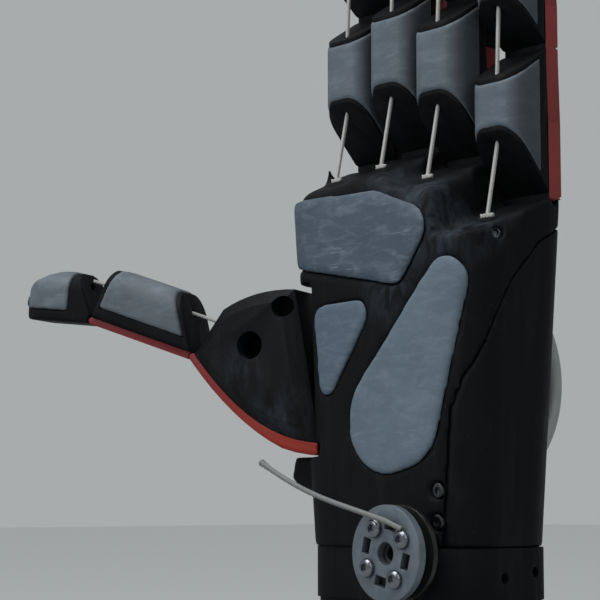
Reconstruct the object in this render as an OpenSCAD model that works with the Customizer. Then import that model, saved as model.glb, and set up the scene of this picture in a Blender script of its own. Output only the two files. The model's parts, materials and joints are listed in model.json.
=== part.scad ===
/* [Fingers] */
// Width of the first link of a finger
finger_w = 17.8; // [16.5:0.1:18.5]
// Depth of the first link, from its hinge axis to the bare palm side
finger_depth = 16.5; // [15:0.1:17.5]
// Spacing from finger to finger
finger_pitch = 20.6; // [20:0.1:21]
// Height of the middle finger's first hinge above the base
knuckle_z = 165; // [160:0.5:169]
// Length of the middle finger's first link, hinge to hinge
proximal_len = 51.5; // [46:0.5:58]
// Length of the middle finger's middle link, hinge to hinge
middle_len = 31; // [28:0.5:37]
// Length of the middle finger's end link, hinge to tip
distal_len = 26; // [24:0.5:31]
// How far each joint of a finger bends: knuckle, middle and end
finger_bend = [63, 72, 50];

/* [Thumb] */
// Width of the thumb's links
thumb_w = 18; // [16:0.1:19]
// Depth of the thumb's first link, from its hinge axis to the bare pad side
thumb_depth = 18; // [17:0.1:19]
// Length of the thumb's first link, hinge to hinge
thumb_proximal_len = 38.5; // [34:0.5:44]
// Length of the thumb's end link, hinge to tip
thumb_distal_len = 27.5; // [25:0.5:31]
// How far each joint of the thumb bends: root, knuckle and end
thumb_bend = [5.5, 49, 29];
// Direction in which the thumb stands out, away from the plane of the palm
thumb_out = 25; // [20:1:32]

/* [Soft parts] */
// Thickness of the silicone pads
pad_t = 1.9; // [1.2:0.1:2.4]
// How far the pads stand proud of the black shells
pad_proud = 0.45; // [0.2:0.05:0.8]
// Thickness of a finger's back strip between its hinges
strip_t = 5.4; // [4:0.1:6]
// Width of the back strips
strip_w = 17.2; // [15:0.1:17.5]
// Thickness of a strip's web at a hinge
web_t = 2; // [1.6:0.1:2.4]
// Thickness of the thumb's strip
thumb_strip_t = 2.2; // [2:0.1:3]
// Width of the thumb's strips
thumb_strip_w = 15.5; // [13:0.1:16]
// Diameter of the braided tendons
tendon_d = 1.5; // [1:0.1:1.8]

/* [Palm] */
// Width of the palm at the knuckles
palm_w = 85; // [84:0.5:90]
// Thickness of the palm at the knuckles
palm_t = 37.5; // [36.5:0.5:41]
// Width of the wrist at the seam
wrist_w = 68; // [64:0.5:74]
// Thickness of the wrist at the seam
wrist_t = 47; // [44:0.5:52]
// Height of the seam between the palm and the wrist housing
seam_z = 45; // [42:0.5:48]
// Thickness of the back cover
cover_t = 3; // [2:0.1:4]

/* [Spool and servo] */
// Diameter of the aluminium horn disc
horn_d = 27; // [24:0.5:30]
// Diameter of the circle that the horn screws stand on
horn_pcd = 16; // [15:0.1:18]
// Gap between the horn disc and the rear flange of the spool
spool_gap = 3; // [2:0.1:4]
// Servo case: length, depth and height
servo_case = [40, 35.5, 20];

/* [Mount] */
// Spacing of the base screws across the wrist
base_x = 44; // [38:0.5:46]
// Spacing of the base screws through the wrist
base_y = 24; // [20:0.5:26]
// Diameter of the base screw holes
base_hole_d = 4.2; // [3.2:0.1:5]

/* [Hidden] */
FINGERS = ["index", "middle", "ring", "little"];
$fn = 48;

BLACK = "#1d1f22";
SILICONE = "#8e9db0";
RED = "#c8402f";
STEEL = "#c9ccd0";
CORD = "#e4e3dd";

eps = 0.01;
slip = 0.1; // gap round a piece that is glued or screwed into its seat
pad_slip = 0.05; // gap between a pad and its seat
run = 0.3; // gap between pieces that move past each other
web_r = web_t / 2;
web_half = 1.6; // half the length of the thin web at a hinge

// Each finger: side position, depth of its middle plane, hinge height and size factors
finger_x = [for (k = [-1.5:1.5]) k * finger_pitch + 0.45];
finger_front = [-7.3, -7.8, -8.6, -5.2]; // palm side of each finger
finger_y = [for (y = finger_front) y + finger_depth]; // hinge axes, at the strip's inner face
finger_drop = [1.5, 0, 5.8, 19.5];
finger_z = [for (d = finger_drop) knuckle_z - d];
finger_len = [for (s = [[-2.5, -3, -1], [0, 0, 0], [-1.5, -1.5, -0.5], [-7, -6, -3]])
    [proximal_len + s[0], middle_len + s[1], distal_len + s[2]]];
link_narrow = [0, 1, 2]; // how much narrower each link of a finger is
link_thin = [0, 1.2, 2.4]; // how much less deep each link is
palm_rake = 22; // slope of the palm's top under each finger
spare = [7, 1.5, 1.5]; // angle left open at the end of each bend; a crossbar lies in the first
// Angle of the face below and above each hinge, from square to the link
v_below = [palm_rake, 0.45 * (finger_bend[1] + spare[1]), 0.5 * (finger_bend[2] + spare[2])];
v_above = [for (j = [0:2]) finger_bend[j] + spare[j] - v_below[j]];
band = 3.6; // black band between a pad and the strip
rim = 1.3; // height of the black rim at each end of a pad
corner_r = 6.3; // rounding of a link's palm-side corners
bore_in = [13.2, 12.2, 11.2]; // tendon depth below the hinge axis in each link
bore_r = tendon_d / 2 + 0.4;

function dir_y(a) = [-cos(a), sin(a)];

// A rectangle with two round corners below and two above, across x and from y0 to y1
module section(w, y0, y1, r0, r1) {
    translate([-w / 2, y0 + r0]) square([w, y1 - y0 - r0 - r1]);
    translate([-w / 2 + r0, y0]) square([w - 2 * r0, r0 + eps]);
    translate([-w / 2 + r1, y1 - r1 - eps]) square([w - 2 * r1, r1 + eps]);
    for (s = [-1, 1]) {
        translate([s * (w / 2 - r0), y0 + r0]) circle(r0);
        translate([s * (w / 2 - r1), y1 - r1]) circle(r1);
    }
}

// Turns a drawing in y and z into a solid across x
module across(w) {
    rotate([90, 0, 90]) translate([0, 0, -w / 2]) linear_extrude(w) children();
}

// Side view of a link between its two hinges, from depth y0 to y1
module wedge_side(len, a0, a1, y0, y1) {
    polygon([[y1, -y1 * tan(a0)], [y0, -y0 * tan(a0)],
             [y0, len + y0 * tan(a1)], [y1, len + y1 * tan(a1)]]);
}

// Side and front views of an end link, with its round tip
tip_r = 9.5;
tip_side_r = 7;
function arc(x, y, r, a, b, n = 8) = [for (i = [0:n])
    let(t = a + (b - a) * i / n) [x + r * cos(t), y + r * sin(t)]];
module tip_side(len, a0, y0, y1) {
    polygon(concat([[y1, -y1 * tan(a0)], [y0, -y0 * tan(a0)]],
                   arc(y0 + tip_r, len - tip_r, tip_r, 180, 90), arc(y1 - 2, len - 2.6, 2, 90, 0, 3)));
}
module tip_front(w, len) {
    r = min(tip_side_r, w / 2 - 0.5);
    polygon(concat([[-w / 2, -1]], arc(-w / 2 + r, len - r, r, 180, 90), arc(w / 2 - r, len - r, r, 90, 0),
                   [[w / 2, -1]]));
}
// The ends of a link, up to a rise from its two slanting faces
module ends(len, a0, a1, rise, tip) {
    polygon([[9, rise - 9 * tan(a0)], [-40, rise + 40 * tan(a0)], [-40, -40], [9, -40]]);
    if (!tip) polygon([[9, len - rise + 9 * tan(a1)], [-40, len - rise - 40 * tan(a1)],
                       [-40, len + 40], [9, len + 40]]);
}
module along_y(y0, y1) {
    translate([0, y1, 0]) rotate([90, 0, 0]) linear_extrude(y1 - y0) children();
}

// The black shell of a link: hinge axis at the origin, palm side towards -y.
// size = [width, depth, length], st = strip thickness below the axis plane
module link_shell(size, a0, a1, st, bore_y, tip = false, bare = 0) {
    inner = pad_t - pad_proud;
    top = -st;
    split = top - band;
    difference() {
        intersection() {
            across(size[0] + 2) {
                if (tip) tip_side(size[2] - inner, a0, -size[1], top);
                else wedge_side(size[2], a0, a1, -size[1], top);
            }
            union() {
                linear_extrude(size[2] + 1)
                    section(size[0] - 2 * inner, -size[1] + inner, top, corner_r - inner, 1);
                if (bare > 0) linear_extrude(bare) section(size[0], -size[1], top, corner_r, 1);
                intersection() {
                    linear_extrude(size[2] + 1) section(size[0], -size[1], top, corner_r, 1);
                    across(size[0] + 2) ends(size[2], a0, a1, rim, tip);
                }
                linear_extrude(size[2] + 1)
                    translate([-size[0] / 2, split]) square([size[0], band - 1]);
                linear_extrude(size[2] + 1)
                    translate([0, split]) section(size[0], 0, band, 0.5, 1.2);
            }
            if (tip) along_y(-size[1] - 1, top + 1) tip_front(size[0], size[2] - 0.5);
        }
        translate([0, bore_y, -1]) cylinder(r = bore_r, h = tip ? bore_len : size[2] + 2);
        if (st < 0) across(size[0] + 2) circle(thumb_below_axis + run);
    }
}
bore_len = 20;

// The silicone pad that wraps a link's palm side and flanks, past its bare end
module link_pad(size, a0, a1, st, tip = false, bare = 0) {
    inner = pad_t - pad_proud;
    split = -st - band - pad_slip;
    difference() {
        intersection() {
            across(size[0] + 3) {
                if (tip) tip_side(size[2], a0, -size[1] - pad_proud, split);
                else wedge_side(size[2], a0, a1, -size[1] - pad_proud, split);
            }
            linear_extrude(size[2] + 1)
                section(size[0] + 2 * pad_proud, -size[1] - pad_proud, 2, corner_r + pad_proud, 1);
            if (tip) along_y(-size[1] - 2, split + 1) tip_front(size[0] + 2 * pad_proud, size[2]);
        }
        intersection() {
            translate([0, 0, -1]) linear_extrude(size[2] + 4) section(size[0] - 2 * inner + 2 * pad_slip,
                -size[1] + inner - pad_slip, 3, corner_r - inner + pad_slip, 1);
            if (tip) across(size[0]) tip_side(size[2] - inner + pad_slip, 0, -size[1], 4);
        }
        across(size[0] + 3) ends(size[2], a0, a1, rim + pad_slip, tip);
        if (bare > 0) across(size[0] + 3) translate([-2 * size[1], -20])
            square([4 * size[1], 20 + bare + pad_slip]);
    }
}

// One length of back strip: a bead on its far hinge axis, a hollow round its near one, and
// its thickness behind them
function hollow(r) = let(b = r + run, a = acos(r / b)) arc(0, 0, b, a, 180 - a);
strip_back = strip_t - web_r;
notch = 0.5; // half the slit in a strip's back at a hinge
module strip(len, w) {
    across(w) polygon(concat(hollow(web_r), arc(0, len, web_r, 180, 0, 12),
        [[web_r, len - web_half], [strip_back, len - notch], [strip_back, notch], [web_r, web_half]]));
}
// The last length of a strip, with a round end under the fingertip
module strip_end(len, w) {
    intersection() {
        across(w) polygon(concat(hollow(web_r), [[-web_r, len], [strip_back - 3, len],
            [strip_back, len - 4], [strip_back, notch], [web_r, web_half]]));
        along_y(-web_r - 1, strip_back + 1) tip_front(w, len);
    }
}

// ---- Fingers ----
function link_size(f, j) = [finger_w - link_narrow[j], finger_depth - link_thin[j], finger_len[f][j]];
function link_z(f, j) = j == 0 ? 0 : finger_len[f][j - 1] + link_z(f, j - 1);

// Puts children at hinge j of finger f, with the hinge axis at the origin
module at_hinge(f, j = 0) {
    translate([finger_x[f], finger_y[f], finger_z[f] + link_z(f, j)]) children();
}
below_axis = web_r + slip;

module finger_shell(f, j) {
    color(BLACK) at_hinge(f, j)
        link_shell(link_size(f, j), v_above[j], j < 2 ? v_below[j + 1] : 0, below_axis,
                   -bore_in[j], j == 2);
}
module finger_pad(f, j) {
    color(SILICONE) at_hinge(f, j)
        link_pad(link_size(f, j), v_above[j], j < 2 ? v_below[j + 1] : 0, below_axis, j == 2);
}
module finger_strip(f, j) {
    color(RED) at_hinge(f, j)
        if (j < 2) strip(finger_len[f][j], strip_w - link_narrow[j]);
        else strip_end(finger_len[f][j] * 0.72, strip_w - link_narrow[j]);
}

// A strip's root: it stands in a pocket and carries the first bead
root_deep = 12;
root_narrow = 4; // how much narrower a root is than its strip
root_back = 2.4;
module strip_root(back, w, deep, r = web_r) {
    across(w) polygon(concat(arc(0, 0, r, 0, 180, 12), [[-r, -deep], [back, -deep],
        [back, min(-web_half, -1.5 * back)], [r, -web_half]]));
}

// A cord swept through points, with its rings square to the route
module tube(p, r, up, sides = 8) {
    n = len(p);
    rings = [for (i = [0:n - 1])
        let(t = p[min(i + 1, n - 1)] - p[max(i - 1, 0)], d = t / norm(t),
            a = cross(d, up) / norm(cross(d, up)), b = cross(d, a))
        for (k = [0:sides - 1]) p[i] + r * (cos(360 * k / sides) * a + sin(360 * k / sides) * b)];
    polyhedron(rings, concat(
        [[for (k = [0:sides - 1]) k]],
        [for (i = [0:n - 2], k = [0:sides - 1]) let(m = (k + 1) % sides)
            each [[i * sides + k, (i + 1) * sides + m, i * sides + m],
                  [i * sides + k, (i + 1) * sides + k, (i + 1) * sides + m]]],
        [[for (k = [0:sides - 1]) n * sides - 1 - k]]));
}
bar_y = -17.9; // depth of a tendon's crossbar below the hinge axis
bar_z = bar_y * tan(palm_rake); // it lies on the sloping top of the palm
function tendon_path(f) = let(l = finger_len[f], b = -bore_in)
    [[0, bar_y, bar_z + 0.1], [0, b[0], -b[0] * tan(v_above[0]) + 1.2],
     [0, b[0], l[0] + b[0] * tan(v_below[1]) - 2], [0, b[1], l[0] - b[1] * tan(v_above[1]) + 2],
     [0, b[1], l[0] + l[1] + b[1] * tan(v_below[2]) - 2],
     [0, b[2], l[0] + l[1] - b[2] * tan(v_above[2]) + 2], [0, b[2], l[0] + l[1] + bore_len - 2]];

// ---- Palm ----
top_z = knuckle_z + 5;
palm_mid = [-0.6, -0.4]; // middle of the palm at the knuckles
palm_r = 9;
ear_t = 1.4; // thickness of the ear beside the index finger
heel_mid = [-0.7, 0]; // middle of the palm at the seam
heel_r = 17.6; // rounding of its corners there
wrist_r = 16;
thumb_root = [12.5 - palm_w / 2, -12];
thumb_root_z = seam_z + 29.4;
hinge_gap = thumb_bend[0] + 1; // opening of the thumb's root
meta_lean = 9.9; // lean of the thumb's inner face

module slice(w, t, r, z) {
    translate([0, 0, z]) linear_extrude(eps) section_round(w, t, r);
}
// The whole palm, with its walls moved inwards by d
module palm_body(d = 0) {
    $fn = 40;
    hull() {
        translate(heel_mid) slice(wrist_w - 2 * d, wrist_t - 2 * d, heel_r - d, seam_z);
        translate(palm_mid) slice(palm_w - 2 * d, palm_t + 1.5 - 2 * d, palm_r - d, knuckle_z - 10);
        translate(palm_mid) slice(palm_w - 2 * d, palm_t - 2 * d, palm_r - d, top_z);
    }
}

lip_t = 1.8; // thickness of the lip behind a strip
lip_run = 22; // height over which the lip's back slopes out to the palm's
// Side view of the palm under finger f: raked top, lip behind the strip and sloping back
back_y = palm_mid[1] + palm_t / 2;
module palm_side(f) {
    hy = finger_y[f];
    z = finger_z[f];
    wall_z = z - web_half - 1;
    lip_y = hy + root_back + slip;
    lip_z = z + notch - run;
    wall_y = lip_y + lip_t;
    polygon([[-40, seam_z], [-40, z - (hy + 40) * tan(palm_rake)],
             [hy - below_axis, z - below_axis * tan(palm_rake)], [hy, wall_z],
             [lip_y, wall_z], [lip_y, lip_z], [wall_y, lip_z],
             [max(back_y, wall_y + 0.5), lip_z - lip_run], [40, wall_z - 60], [40, seam_z]]);
}
// Sides of the block that carries finger f
function block_x(f) = [f == 0 ? -palm_w : finger_x[f] - finger_pitch / 2 - (f == 3 ? 0.25 : 0),
                       f == 3 ? palm_w : finger_x[f] + finger_pitch / 2 - (f == 2 ? 0.25 : 0)];
module palm_top() {
    for (f = [0:3]) {
        x = block_x(f);
        translate([(x[0] + x[1]) / 2, 0, 0]) across(x[1] - x[0] + (f < 3 ? 0 : eps)) palm_side(f);
    }
}

// Region of the palm that the back cover takes, drawn in y and z
cover_top = knuckle_z - 27;
cover_seam = [[18, 0], [6, -6], [-5, -18], [-10, -27], [-14, -37], [-18, -46], [-19.5, -54]];
module cover_region(gap = 0) {
    x0 = 10;
    translate([x0 - gap + 50, 0, 0]) across(100) translate([-gap, gap])
        polygon(concat([for (p = cover_seam) [p[0], cover_top + p[1]]],
                       [[-19.5, seam_z - 1 - gap], [40, seam_z - 1 - gap], [40, cover_top]]));
    translate([x0 - 50, 0, 0]) across(100) translate([-gap, gap])
        polygon([[8, seam_z - 1 - gap], [8, cover_top - 8], [18, cover_top],
                 [40, cover_top], [40, seam_z - 1 - gap]]);
}

// Outlines of the three pads, in x and z, as round corners [x, z, r]: their z counts from the seam
// on a palm as high as palm_drawn, and stretches with the palm
palm_drawn = 120;
function height(z) = seam_z + z * (knuckle_z - seam_z) / palm_drawn;
function on_palm(corners) = [for (c = corners) [c[0], height(c[1]), c[2]]];
knuckle_outline = on_palm([[-37, 98.5, 7.5], [-3, 96.5, 8.5], [12.6, 91.5, 7.5], [7.6, 79.5, 4.5],
                           [-37, 89, 5], [-50, 95, 9]]);
thenar_outline = on_palm([[-22.8, 67.6, 4.3], [-8.7, 67.6, 5], [-20.4, 47.6, 3.5]]);
heel_outline = on_palm([[27.5, 75, 7.3], [6, 37, 16.5], [12.5, 35, 13]]);
module pad_outline(corners, grow = 0) {
    translate([0, -8, 0]) rotate([90, 0, 0]) linear_extrude(30) hull()
        for (c = corners) translate([c[0], c[1]]) circle(c[2] + grow, $fn = 32);
}
module palm_pad(corners) {
    color(SILICONE) intersection() {
        difference() {
            palm_body(-pad_proud - 0.25);
            palm_body(pad_t - pad_proud - pad_slip);
        }
        pad_outline(corners);
    }
}

// ---- Thumb ----
meta_end = [43.6, 28.5]; // thumb's knuckle hinge, out and up from its root hinge
meta_w = 23;
thumb_tilt = [19.3, 6]; // slope of the thumb's two links at rest
thumb_below = [0, 18, 6]; // angle of the face below each thumb hinge
thumb_above = [for (j = [0:2]) j == 0 ? 0 : thumb_bend[j] + spare[j] - thumb_below[j]];
thumb_below_axis = thumb_strip_t / 2;
thumb_size = [[thumb_w, thumb_depth, thumb_proximal_len],
              [thumb_w - 1.6, thumb_depth - 2.6, thumb_distal_len]];
thumb_bore = [12.5, 11];
thumb_bare = 9.5; // length of the end link's bare knuckle
ip_at = meta_end + thumb_proximal_len * [cos(thumb_tilt[0]), sin(thumb_tilt[0])];

// Puts children at a point out and up from the thumb's root hinge, with z along the link
module on_thumb(at, tilt = 0) {
    translate([thumb_root[0] - at[0] * cos(thumb_out), thumb_root[1] - at[0] * sin(thumb_out),
               thumb_root_z + at[1]])
        rotate([0, 0, 90 + thumb_out]) rotate([tilt - 90, 0, 0]) children();
}
function bezier(p, t) = len(p) == 1 ? p[0]
    : (1 - t) * bezier([for (i = [0:len(p) - 2]) p[i]], t) + t * bezier([for (i = [1:len(p) - 1]) p[i]], t);
// The underside that the strip follows, and the top edge
under = [[0, 0], [18, 0.5], [32, 13], meta_end];
over = [[8.4, 48.1], [22, 49], meta_end + 18 * dir_y(90 - thumb_below[1] - thumb_tilt[0])];
function side_point(p) = [-p[1], p[0]];
function under_line(shift, t0 = 0, t1 = 1, n = 10) = [for (i = [0:n])
    let(t = t0 + (t1 - t0) * i / n, p = bezier(under, t),
        q = bezier(under, min(1, t + 0.01)) - bezier(under, max(0, t - 0.01)))
    side_point(p + shift * [-q[1], q[0]] / norm(q))];
module meta_side() {
    polygon(concat([for (i = [0:8]) side_point(bezier(over, i / 8))],
        [for (p = under_line(thumb_below_axis + slip, 1, 0)) p]));
}
module metacarpal() {
    bevel = 5;
    color(BLACK) on_thumb([0, 0]) difference() {
        intersection() {
            hull() {
                across(thumb_strip_w) meta_side();
                across(meta_w) offset(delta = -bevel) meta_side();
            }
            rotate([90, 0, 0]) linear_extrude(120, center = true)
                polygon([[-meta_w / 2, -5], [meta_w / 2, -5], [thumb_w / 2 + 1, meta_end[0]],
                         [-thumb_w / 2 - 1, meta_end[0]]]);
            across(meta_w) polygon([[0, 0], [-60, 60 * tan(meta_lean)], [-60, 60], [10, 60], [10, 0]]);
            across(meta_w) polygon([[-meta_end[1], meta_end[0]], [10, meta_end[0]], [10, -9], [-60, -9],
                [-60, meta_end[0] - (60 - meta_end[1]) * tan(thumb_below[1] + thumb_tilt[0])]]);
        }
        across(thumb_strip_w + 1) polygon(concat(under_line(thumb_below_axis + slip), [[20, 50], [20, 0]]));
        translate([-meta_w, -31.2, 22.4]) rotate([0, 90, 0]) cylinder(d = 8.6, h = meta_w);
        translate([-meta_w, -42.8, 11.6]) rotate([0, 90, 0]) cylinder(d = 6.6, h = meta_w - 4);
        translate([0, -meta_end[1], meta_end[0]]) rotate([thumb_tilt[0], 0, 0])
            translate([0, -thumb_bore[0], -22]) cylinder(r = bore_r, h = 30);
    }
}
module thumb_link(i) {
    color(BLACK) on_thumb(i == 0 ? meta_end : ip_at, thumb_tilt[i])
        link_shell(thumb_size[i], thumb_above[i + 1], i == 0 ? thumb_below[2] : 0,
                   i == 0 ? thumb_below_axis + slip : -1, -thumb_bore[i], i == 1, i * thumb_bare);
}
module thumb_pad(i) {
    color(SILICONE) on_thumb(i == 0 ? meta_end : ip_at, thumb_tilt[i])
        link_pad(thumb_size[i], thumb_above[i + 1], i == 0 ? thumb_below[2] : 0,
                 i == 0 ? thumb_below_axis + slip : -1, i == 1, i * thumb_bare);
}
module thumb_strip() {
    color(RED) on_thumb(meta_end, thumb_tilt[0])
        across(thumb_strip_w) polygon(concat(
            hollow(thumb_below_axis), [[-thumb_below_axis, thumb_proximal_len]],
            arc(0, thumb_proximal_len, thumb_below_axis, 180, 0, 12)));
}
module metacarpal_strip() {
    r = thumb_below_axis;
    q = meta_end - under[2];
    turn = atan2(q[0], -q[1]);
    end = side_point(meta_end);
    color(RED) on_thumb([0, 0]) across(thumb_strip_w)
        polygon(concat(hollow(r), under_line(r, 0.06, 0.97), arc(end[0], end[1], r, turn + 90, turn - 90, 12),
                       under_line(-r, 0.97, 0.06)));
}

// ---- Strip roots, tendons and their crossbars ----
module strip_roots() {
    color(RED) {
        for (f = [0:3]) at_hinge(f) strip_root(root_back, strip_w - root_narrow, root_deep);
        on_thumb([0, 0]) strip_root(thumb_below_axis, thumb_strip_w, root_deep, thumb_below_axis);
    }
}
module strip_pockets() {
    for (f = [0:3]) at_hinge(f) slot_for(strip_w - root_narrow, below_axis, root_back);
    on_thumb([0, 0]) slot_for(thumb_strip_w, thumb_below_axis + slip, thumb_below_axis);
}
module slot_for(w, front, back) {
    translate([-w / 2 - slip, -front, -root_deep - slip])
        cube([w + 2 * slip, front + back + slip, root_deep + 20]);
}
bar_d = 1.6;
bar_l = 3.8;
module tendon_bars() {
    color(CORD) for (f = [0:3]) at_hinge(f)
        translate([-bar_l / 2, bar_y, bar_z + bar_d / 2 + 0.1]) rotate([0, 90, 0])
            cylinder(d = bar_d, h = bar_l, $fn = 24);
}
module tendons() {
    lift = [0, 0, bar_d + 0.1];
    color(CORD) {
        for (f = [0:3]) at_hinge(f) let(p = tendon_path(f))
            tube([for (i = [0:len(p) - 1]) i == 0 ? p[0] + lift : p[i]], tendon_d / 2, [1, 0, 0]);
        on_thumb(meta_end, thumb_tilt[0])
            tube([[0, -thumb_bore[0], -20], [0, -thumb_bore[0], thumb_proximal_len - 7]],
                 tendon_d / 2, [1, 0, 0]);
    }
}

// ---- Palm shell and what it carries ----
horn_at = [16.5, seam_z - 1.4]; // axis of the servo shaft, in x and z
servo_front = -17; // depth of the servo's face
shaft_in = 9.5; // shaft axis from the end of the case
module servo_pocket() {
    translate([horn_at[0] + shaft_in - servo_case[0] - slip, servo_front - slip,
               horn_at[1] - servo_case[2] / 2 - slip])
        cube([servo_case[0] + 2 * slip, servo_case[1] + 2 * slip, servo_case[2] + 2 * slip]);
    translate([horn_at[0], servo_front + eps, horn_at[1]]) rotate([90, 0, 0]) cylinder(r = 8, h = 20);
}
// Room for the thumb's inner end, cut into the palm's edge
module thumb_notch() {
    lean = meta_lean - hinge_gap;
    w = meta_w + 2.6;
    on_thumb([0, 0]) across(w) polygon([[3, -web_half], [3, 40], [-49.8, 40], [-49.8, 49.8 * tan(lean)],
        [-web_half, web_half * tan(lean)], [-web_half, -web_half]]);
}
// The screws that hold the covers: place and direction, as [x, y, z, turn]
screw_r = 2.1;
screw_at = [[wrist_w / 2 - 9.3, -21.8, seam_z + 16, 0],
            [wrist_w / 2 - 9.6, -21.8, seam_z + 7.3, 0],
            [palm_w / 2 - 4.3, 8.35 - palm_t / 2, knuckle_z - 31.6, 70]];
module screw_seat(p, r, deep) {
    translate([p[0], p[1], p[2]]) rotate([0, 0, p[3]]) rotate([-90, 0, 0])
        translate([0, 0, -5]) cylinder(r = r, h = 5 + deep);
}
module palm_shell() {
    color(BLACK) difference() {
        union() {
            intersection() {
                palm_body();
                palm_top();
            }
            heel_lug();
            ear();
        }
        difference() {
            intersection() {
                translate([-palm_w, -wrist_t, seam_z - 1]) cube([2 * palm_w, 2 * wrist_t, knuckle_z]);
                cover_region(slip);
            }
            palm_body(cover_t);
        }
        difference() {
            union() {
                pad_outline(knuckle_outline, pad_slip);
                pad_outline(thenar_outline, pad_slip);
                pad_outline(heel_outline, pad_slip);
            }
            palm_body(pad_t - pad_proud);
        }
        strip_pockets();
        servo_pocket();
        thumb_notch();
        for (p = screw_at) screw_seat(p, screw_r + slip, 2.2);
        for (f = [0:3]) at_hinge(f) translate([0, bar_y + 0.6, bar_z - 40])
            cylinder(r = bore_r, h = 60);
    }
}
// Pointed ear on the thumb side of the index finger's block
module ear() {
    z = finger_z[0];
    translate([palm_mid[0] - palm_w / 2 + ear_t / 2 + 0.3, 0, 0]) across(ear_t)
        polygon([[-8, z - 10], [-5.2, z - 5.4], [-1.3, z + 0.3], [0.6, z - 3], [1.4, z - 10]]);
}
// Lug at the thumb side of the heel
module heel_lug() {
    translate([-palm_w / 2, -8, seam_z]) rotate([90, 0, 0]) linear_extrude(9)
        polygon([[12.5, 15], [3, 17.5], [0, 20], [1.5, 26], [3, 27.5], [12.5, 28.5]]);
}
module back_cover() {
    color("#26282b") difference() {
        intersection() {
            difference() {
                palm_body();
                palm_body(cover_t - slip);
            }
            cover_region(0);
            palm_top();
        }
        strip_pockets();
        servo_pocket();
        screw_seat(screw_at[2], screw_r + slip, 2.2);
    }
}
module housing_screws() {
    color(STEEL) for (p = screw_at) difference() {
        translate([p[0], p[1], p[2]]) rotate([0, 0, p[3]]) rotate([-90, 0, 0])
            translate([0, 0, 0.6]) cylinder(r = screw_r, h = 1.5);
        translate([p[0], p[1], p[2]]) rotate([0, 0, p[3]]) rotate([-90, 0, 0])
            cylinder(r = 1.1, h = 1.5, $fn = 6);
    }
}

// ---- Wrist, servo and spool ----
neck_z = 30;
module wrist_housing() {
    inset = 0.8;
    color(BLACK) difference() {
        union() {
            translate([0, 0, neck_z]) linear_extrude(seam_z - slip - neck_z)
                section_round(wrist_w - 2 * inset, wrist_t - 2 * inset, wrist_r - inset);
            linear_extrude(neck_z + eps)
                section_round(wrist_w - 4 * inset, wrist_t - 4 * inset, wrist_r - 2 * inset);
        }
        servo_pocket();
        for (x = [-1, 1], y = [-1, 1]) translate([x * base_x / 2, y * base_y / 2, -1])
            cylinder(d = base_hole_d, h = 13);
        translate([0, 0, -1]) cylinder(d = 12, h = horn_at[1]);
        for (p = [[-3, 36.5], [10, 38]]) translate([wrist_w / 2 + 1, p[0], p[1]])
            rotate([0, -90, 0]) cylinder(d = 3, h = 5);
    }
}
module section_round(w, t, r) {
    square([w - 2 * r, t], center = true);
    square([w, t - 2 * r], center = true);
    for (x = [-1, 1], y = [-1, 1]) translate([x * (w / 2 - r), y * (t / 2 - r)]) circle(r);
}

shaft_r = 2.9;
boss_h = 3;
flange_y = -26.4; // back face of the rear flange
flange_t = 1.6;
disc_t = 2.5;
drum_y = flange_y - flange_t;
disc_y = drum_y - spool_gap;
module on_shaft(y, h) {
    translate([horn_at[0], y, horn_at[1]]) rotate([90, 0, 0]) linear_extrude(h) children();
}
module servo() {
    color("#151618") difference() {
        union() {
            translate([horn_at[0] + shaft_in - servo_case[0], servo_front,
                       horn_at[1] - servo_case[2] / 2])
                cube(servo_case);
            on_shaft(servo_front, boss_h) circle(6.4);
        }
        on_shaft(servo_front + 4, 8) circle(shaft_r + 0.05);
    }
}
screw_turn = 30;
module around(r) {
    for (i = [0:3]) rotate(screw_turn + 90 * i) translate([r, 0]) children();
}
drum_r = horn_pcd / 2 + 2.2;
module spool_hub() {
    color("#2b2d30") difference() {
        union() {
            on_shaft(drum_y, spool_gap) circle(drum_r);
            on_shaft(servo_front - boss_h - run, -(drum_y - servo_front + boss_h + run) + eps) circle(5);
            on_shaft(servo_front + 3.5, 3.5 + boss_h + run + eps) circle(shaft_r);
        }
        on_shaft(disc_y + 4, 5) circle(2);
        on_shaft(drum_y + 1, spool_gap + 2) around(horn_pcd / 2) circle(1.3);
    }
}
module spool_flange() {
    color("#6b6f70", 0.6) on_shaft(flange_y, flange_t) difference() {
        circle(horn_d / 2);
        circle(5 + pad_slip);
        around(horn_pcd / 2) circle(1.3);
    }
}
module horn_disc() {
    color(STEEL) difference() {
        on_shaft(disc_y, disc_t) difference() {
            circle(horn_d / 2);
            circle(3.2);
            around(horn_pcd / 2) circle(1.3);
            rotate(45) around(horn_pcd / 2) square([3, 4.6], center = true);
        }
    }
}
horn_screw_h = 1.6;
module horn_screws() {
    color(STEEL) difference() {
        union() {
            on_shaft(disc_y - disc_t, horn_screw_h) around(horn_pcd / 2) circle(2);
            on_shaft(flange_y - 0.2, flange_t + spool_gap + disc_t) around(horn_pcd / 2) circle(1.2);
        }
        on_shaft(disc_y - disc_t - 0.6, 5) around(horn_pcd / 2) circle(1, $fn = 6);
    }
}

// The free tail of tendon cord, clamped on the disc
tail_r = 0.8;
TAIL = [[24, -34.6, 50.5], [19, -35.6, 52.6], [13, -36, 54.2], [7, -36, 55.6], [1, -36, 57],
        [-5, -36, 58.5], [-11, -36, 60.2], [-17, -36, 62.2], [-23, -36.2, 64.6], [-29, -36.6, 67.4],
        [-33, -37, 69.6]];
function along_route(n) = [for (i = [0:n]) let(u = i / n * (len(TAIL) - 1), k = min(floor(u), len(TAIL) - 2))
    TAIL[k] + (u - k) * (TAIL[k + 1] - TAIL[k])];
module tendon_tail() {
    color(CORD) tube(along_route(20), tail_r, [0, -1, 0]);
}

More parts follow.
